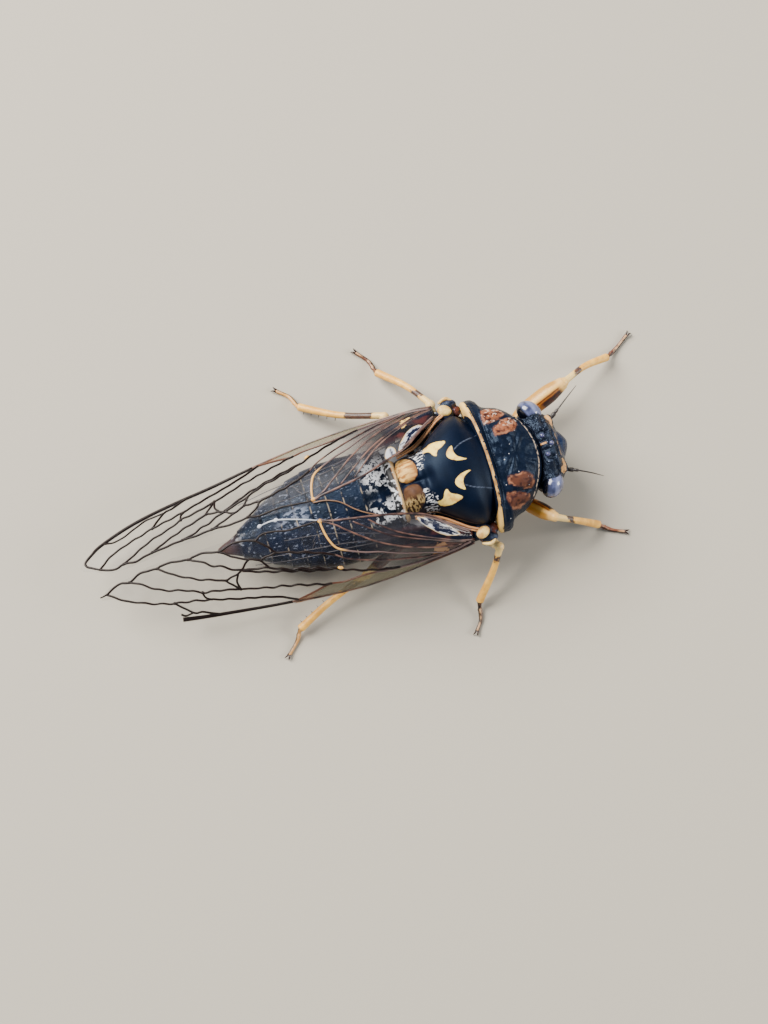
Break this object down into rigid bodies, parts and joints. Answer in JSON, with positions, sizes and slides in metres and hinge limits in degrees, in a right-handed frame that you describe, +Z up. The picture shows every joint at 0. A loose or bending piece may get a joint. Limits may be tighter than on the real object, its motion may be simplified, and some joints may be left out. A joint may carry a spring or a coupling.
{
  "type": "cicada okanagana arboraria",
  "caption": "Life-size adult cicada standing with its wings folded roofwise over the abdomen, a still museum-like model of a black insect with tan marks and clear veined wings",
  "frame": {"origin": "centre of the whole model's box, on the level of the soles of its feet", "axes": "+X towards the head, +Y the insect's left, +Z up"},
  "size_m": [0.051, 0.0272, 0.0092],
  "materials": {
    "blue_black_shell": "glossy chitin with pale dusty flecks",
    "satin_black": "satin chitin with tan marks",
    "eye_slate": "glossy faceted eye",
    "pronotum_rust": "wrinkled chitin, rust patches on black",
    "tan_band": "matt tan chitin",
    "leg_amber": "glossy amber chitin",
    "leg_pale": "pale orange-yellow chitin",
    "foot_brown": "dark brown chitin",
    "tip_brown": "brown chitin",
    "wing_membrane": "clear membrane with dark raised veins"
  },
  "bodies": {
    "root": {"head": "blue_black_shell", "eye_left": "eye_slate", "eye_right": "eye_slate", "antenna_left": "blue_black_shell", "antenna_right": "blue_black_shell", "beak": "tip_brown", "pronotum": "pronotum_rust", "mesonotum": "satin_black", "metanotum": "tan_band", "thorax": "blue_black_shell", "abdomen": "blue_black_shell", "abdomen_tip": "tip_brown", "forewing_left": "wing_membrane", "forewing_right": "wing_membrane", "hindwing_left": "wing_membrane", "hindwing_right": "wing_membrane", "femur_fore_left": "leg_amber", "tibia_fore_left": "leg_pale", "tarsus_fore_left": "foot_brown", "femur_fore_right": "leg_amber", "tibia_fore_right": "leg_pale", "tarsus_fore_right": "foot_brown", "femur_mid_left": "leg_amber", "tibia_mid_left": "leg_pale", "tarsus_mid_left": "foot_brown", "femur_mid_right": "leg_amber", "tibia_mid_right": "leg_pale", "tarsus_mid_right": "foot_brown", "femur_hind_left": "leg_amber", "tibia_hind_left": "leg_pale", "tarsus_hind_left": "foot_brown", "femur_hind_right": "leg_amber", "tibia_hind_right": "leg_pale", "tarsus_hind_right": "foot_brown"}
  },
  "joints": []
}
